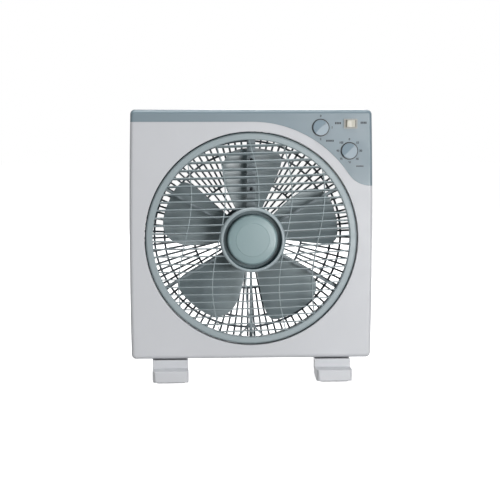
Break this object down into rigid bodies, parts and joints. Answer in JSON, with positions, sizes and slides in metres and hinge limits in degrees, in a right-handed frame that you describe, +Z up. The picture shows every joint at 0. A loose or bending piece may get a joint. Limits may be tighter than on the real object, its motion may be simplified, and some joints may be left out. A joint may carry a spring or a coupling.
{
  "type": "box fan",
  "caption": "Square box fan on feet, with a turning louvre grille, rotary speed and timer knobs and a rocker switch in a corner panel.",
  "frame": {"origin": "on the floor, under the middle of the two feet and of the housing's width", "axes": "+Z up, front of the fan towards -Y, +X to the right as seen from the front; the fan axis runs along Y"},
  "size_m": [0.3844, 0.15, 0.4276],
  "materials": {
    "shell": "satin moulded",
    "fascia": "satin moulded",
    "guard": "moulded",
    "bracket": "moulded",
    "grille": "satin moulded",
    "hub_cap": "satin moulded",
    "blades": "gloss, slightly translucent",
    "knob": "satin moulded",
    "ivory": "satin moulded",
    "black_plastic": "moulded",
    "rubber": "soft moulded",
    "sole": "soft moulded, light grey",
    "steel": "zinc plated",
    "dark_steel": "laminated and blackened",
    "copper": "lacquered winding wire",
    "bronze": "sintered",
    "white_plastic": "moulded"
  },
  "bodies": {
    "housing": {"front_shell": "shell", "control_panel": "fascia", "rear_shell": "shell", "rear_guard": "guard", "louvre_bracket": "bracket", "lead_cover": "bracket", "cover_screw_1": "dark_steel", "cover_screw_2": "dark_steel", "louvre_motor": "steel", "louvre_motor_lead": "white_plastic", "motor_front_cover": "steel", "motor_rear_cover": "steel", "stator_core": "dark_steel", "winding_front": "copper", "winding_rear": "copper", "bearing_front": "bronze", "bearing_rear": "bronze", "motor_lead": "white_plastic", "motor_screw_1": "steel", "motor_screw_2": "steel", "motor_screw_3": "steel", "motor_screw_4": "steel", "speed_switch": "black_plastic", "timer": "black_plastic", "rocker_housing": "ivory", "capacitor": "white_plastic", "terminal_block": "white_plastic", "cord_gland": "rubber", "shell_screw_1": "steel", "shell_screw_2": "steel", "shell_screw_3": "steel", "shell_screw_4": "steel", "foot_left": "shell", "foot_pad_left_front": "sole", "foot_pad_left_rear": "sole", "foot_screw_left_1": "steel", "foot_screw_left_2": "steel", "foot_right": "shell", "foot_pad_right_front": "sole", "foot_pad_right_rear": "sole", "foot_screw_right_1": "steel", "foot_screw_right_2": "steel"},
    "louvre": {"louvre_grille": "grille", "hub_cap": "hub_cap", "louvre_nut": "steel", "louvre_shaft": "steel"},
    "wheel": {"fan_wheel": "blades", "fan_nut": "black_plastic", "motor_shaft": "steel", "rotor_core": "dark_steel"},
    "speed_control": {"speed_knob": "knob", "speed_switch_shaft": "steel"},
    "timer_control": {"timer_knob": "knob", "timer_shaft": "steel"},
    "rocker": {"rocker_button": "ivory"}
  },
  "joints": [
    {"name": "fan_spin", "type": "hinge", "parent": "housing", "child": "wheel", "pos_m": [0, 0, 0.2246], "axis": [0, 1, 0], "continuous": true},
    {"name": "louvre_spin", "type": "hinge", "parent": "housing", "child": "louvre", "pos_m": [0, -0.05, 0.2246], "axis": [0, 1, 0], "continuous": true},
    {"name": "speed_turn", "type": "hinge", "parent": "housing", "child": "speed_control", "pos_m": [0.1088, -0.045, 0.3996], "axis": [0, 1, 0], "range_deg": [0, 270]},
    {"name": "timer_turn", "type": "hinge", "parent": "housing", "child": "timer_control", "pos_m": [0.1544, -0.045, 0.363], "axis": [0, 1, 0], "range_deg": [0, 315]},
    {"name": "rocker_tilt", "type": "hinge", "parent": "housing", "child": "rocker", "pos_m": [0.1561, -0.0415, 0.4058], "axis": [0, 0, 1], "range_deg": [0, 20]}
  ]
}
